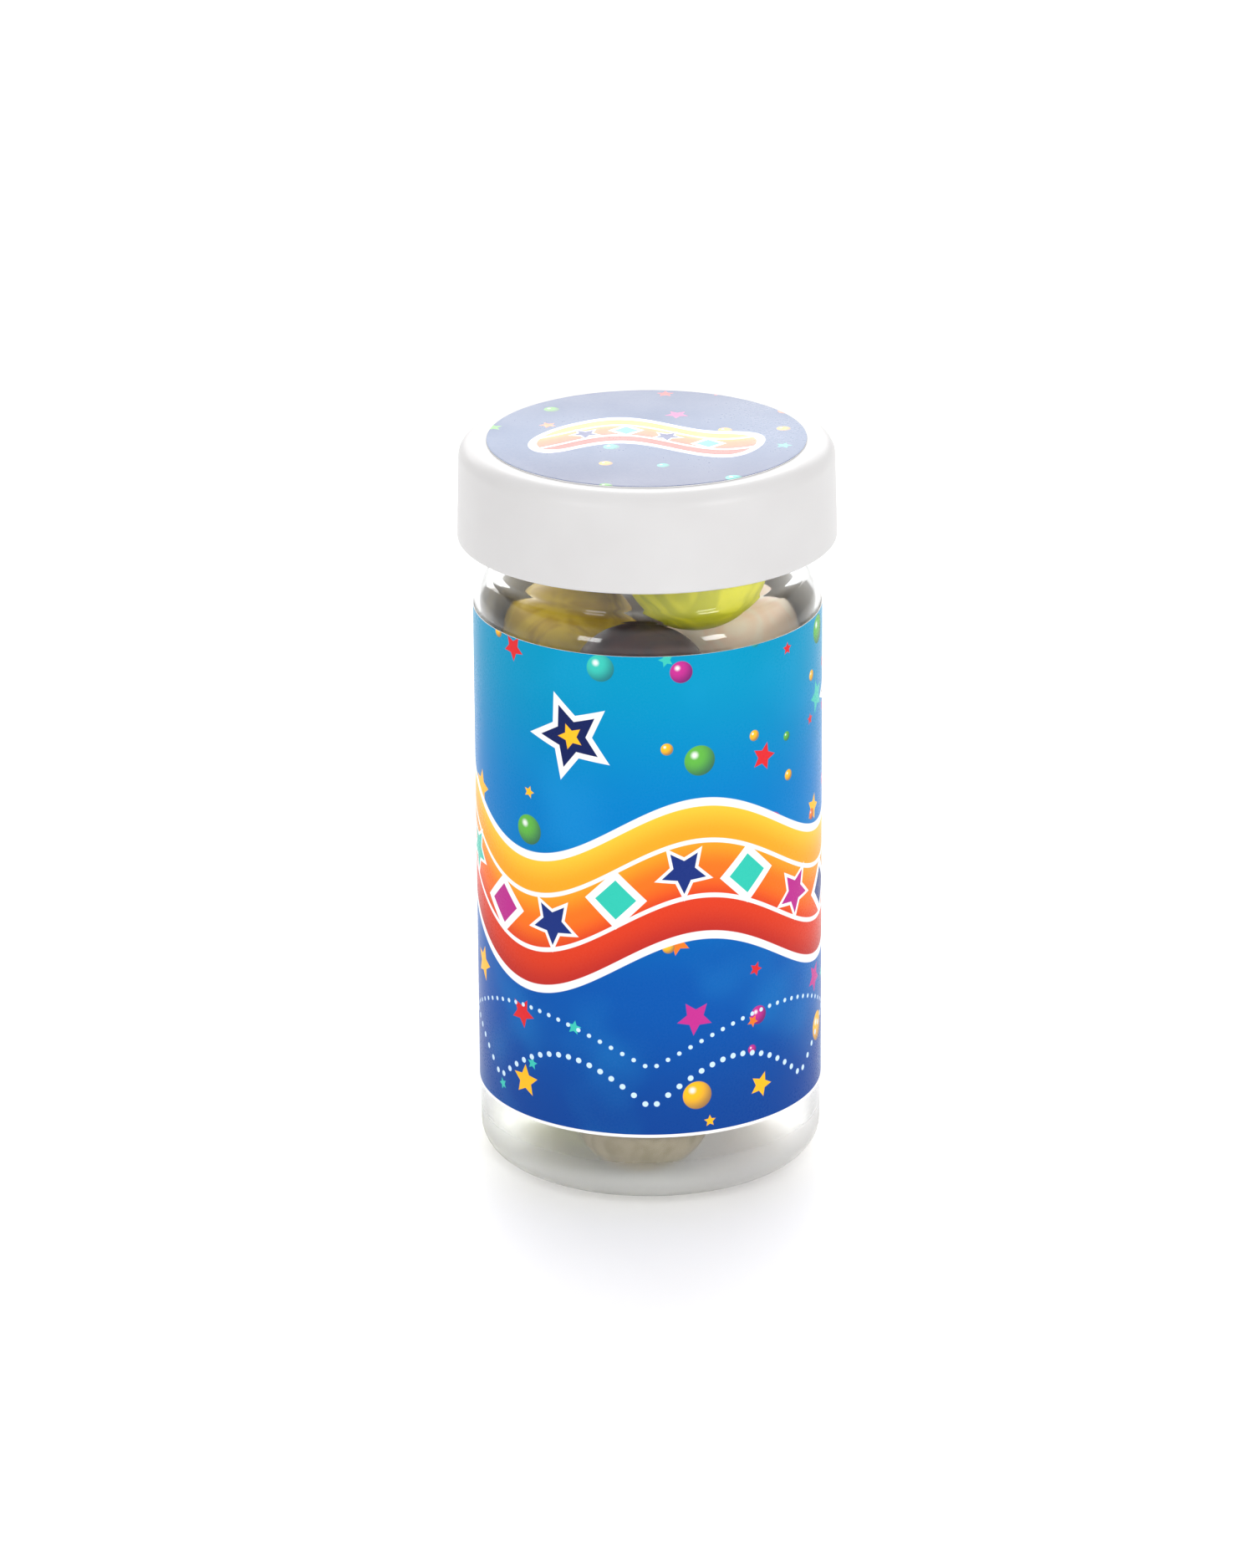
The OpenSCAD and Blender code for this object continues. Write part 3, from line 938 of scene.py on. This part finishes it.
def make_wrap():
    """The wrap label: a strip taken once round the body and on over its own start at the back."""
    inner_r = LABEL_OUT_R - LABEL_T
    turn = 2 * math.pi * LAP_STEPS / WRAP_STEPS
    rows = [(inner_r, LABEL_Z + LABEL_H * i / WRAP_ROWS) for i in range(WRAP_ROWS + 1)]
    wrap = spun("wrap_label", rows, 2 * math.pi + turn, WRAP_STEPS + LAP_STEPS)
    column = len(rows)
    side = 1 if wrap.data.vertices[column].co.y > 0 else -1
    for i in range(LAP_STEPS + LAP_RISE_STEPS + 1):
        share = min(1, (i + 1) / LAP_RISE_STEPS)
        ring = WRAP_STEPS - LAP_RISE_STEPS + i
        lifted = 1 + share * (LABEL_T + LAP_CLEARANCE) / inner_r
        edit(wrap, lambda v: v.index // column == ring)
        bpy.ops.transform.resize(value=(lifted, lifted, 1), center_override=(0, 0, 0))
        leave()
    wrap.rotation_euler.z = math.pi / 2 - side * turn / 2
    only(wrap)
    bpy.ops.object.transform_apply(location=False, rotation=True, scale=False)
    edit(wrap)
    bpy.ops.mesh.normals_make_consistent(inside=False)
    leave()
    if sum(outward(f) for f in wrap.data.polygons) < 0:
        edit(wrap)
        bpy.ops.mesh.flip_normals()
        leave()
    film = wrap.modifiers.new("film", "SOLIDIFY")
    film.thickness = LABEL_T
    film.offset = 1
    apply_modifier(wrap, film)
    smooth(wrap)
    end_at = (math.pi - turn / 2) * LABEL_OUT_R / MM
    set_out(wrap, "body_label", "jar", wrap_print(-side * (end_at + WRAP_MARGIN / 2)), film_back())
    assign_faces(wrap, 1, lambda f: outward(f) < 0.5)
    return wrap


def make_disc():
    section = (
        [(0, DISC_LOW), (DISC_R, DISC_LOW)]
        + arc((DISC_R - DISC_EDGE, DISC_HIGH - DISC_EDGE), DISC_EDGE, 0, 90, 4)
        + [(0, DISC_HIGH)]
    )
    disc = closed(spun("cap_disc", held(section)))
    smooth(disc)
    set_out(disc, "cap_label", "cap", disc_print(), film_back())
    assign_faces(disc, 1, lambda f: f.normal.z < 0.5)
    return disc


def make_ball_master():
    """A moulded ball: the raised line where the mould closed, and the small sunk mark of its gate."""
    bpy.ops.object.select_all(action="DESELECT")
    bpy.ops.mesh.primitive_uv_sphere_add(segments=64, ring_count=32, radius=BALL_R)
    ball = start_piece("ball_master")
    edit(ball, lambda v: abs(v.co.z) < SEAM_H)
    bpy.ops.mesh.select_mode(type="EDGE")
    bpy.ops.mesh.bevel(offset=SEAM_W, segments=2, affect="EDGES")
    leave()
    edit(ball, lambda v: abs(v.co.z) < SEAM_H)
    grown = 1 + SEAM_H / BALL_R
    bpy.ops.transform.resize(value=(grown, grown, 1), center_override=(0, 0, 0))
    bpy.ops.mesh.select_mode(type="FACE")
    bpy.ops.mesh.select_all(action="DESELECT")
    leave()
    gate_at = Vector((BALL_R, 0, BALL_GATE_UP))
    gate = min(ball.data.polygons, key=lambda f: (f.center - gate_at).length)
    gate.select = True
    inward = -gate.normal * BALL_GATE_SINK
    bpy.ops.object.mode_set(mode="EDIT")
    bpy.ops.mesh.inset(thickness=BALL_GATE_INSET)
    bpy.ops.transform.translate(value=inward)
    leave()
    return smooth(ball, 40)


def make_balls():
    master = make_ball_master()
    finishes = {slot: rubber(slot, *tones) for slot, tones in RUBBER.items()}
    for i, node in enumerate(BALL_NODES):
        low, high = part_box(node)
        ball = master.copy()
        ball.data = master.data.copy()
        ball.name = ball.data.name = "rubber_" + node
        bpy.context.scene.collection.objects.link(ball)
        ball.rotation_euler = (0.9 * i + 0.4, 1.7 * i, 2.3 * i + 0.3)
        ball.location = (low + high) / 2
        only(ball)
        bpy.ops.object.transform_apply(location=True, rotation=True, scale=True)
        set_out(ball, node, node, finishes[SLOT_OF[node]])
    bpy.data.objects.remove(master)


# Stage


def add_light(name, place, size, power):
    """An area light that looks at the middle of the jar."""
    bpy.ops.object.select_all(action="DESELECT")
    bpy.ops.object.light_add(type="AREA", location=place)
    lamp = bpy.context.object
    lamp.name = name
    lamp.data.shape = "RECTANGLE"
    lamp.data.size, lamp.data.size_y = size
    lamp.data.energy = power
    lamp.rotation_euler = (Vector((0, 0, AIM_Z)) - Vector(place)).to_track_quat("-Z", "Y").to_euler()


def make_stage():
    bpy.ops.object.select_all(action="DESELECT")
    bpy.ops.mesh.primitive_plane_add(size=FLOOR_SIZE)
    ground = start_piece("floor")
    ground.data.materials.append(floor_finish())
    world = bpy.data.worlds.new("soft studio")
    bpy.context.scene.world = world
    world.use_nodes = True
    sky = world.node_tree.nodes["Background"]
    sky.inputs["Color"].default_value = (1.0, 1.0, 1.0, 1.0)
    sky.inputs["Strength"].default_value = SKY_STRENGTH
    for light in LIGHTS:
        add_light(*light)
    bpy.context.scene.view_settings.view_transform = "Standard"


def make_camera():
    bpy.ops.object.select_all(action="DESELECT")
    up = math.radians(CAMERA_UP)
    back = Vector((0, -math.cos(up), math.sin(up)))
    off_axis = (AXIS_PX - FRAME_W / 2) * CAMERA_AWAY / FOCAL_PX
    aim = Vector((-off_axis, 0, AIM_Z))
    bpy.ops.object.camera_add(location=aim + back * CAMERA_AWAY)
    camera = bpy.context.object
    camera.data.sensor_width = SENSOR
    camera.data.lens = SENSOR * FOCAL_PX / FRAME_H
    look = (-back).to_track_quat("-Z", "Y").to_matrix()
    camera.rotation_euler = (look @ Matrix.Rotation(math.radians(CAMERA_ROLL), 3, "Z")).to_euler()
    bpy.context.scene.camera = camera


make_camera()
make_stage()
make_jar()
make_cap()
make_liner()
make_wrap()
make_disc()
make_balls()
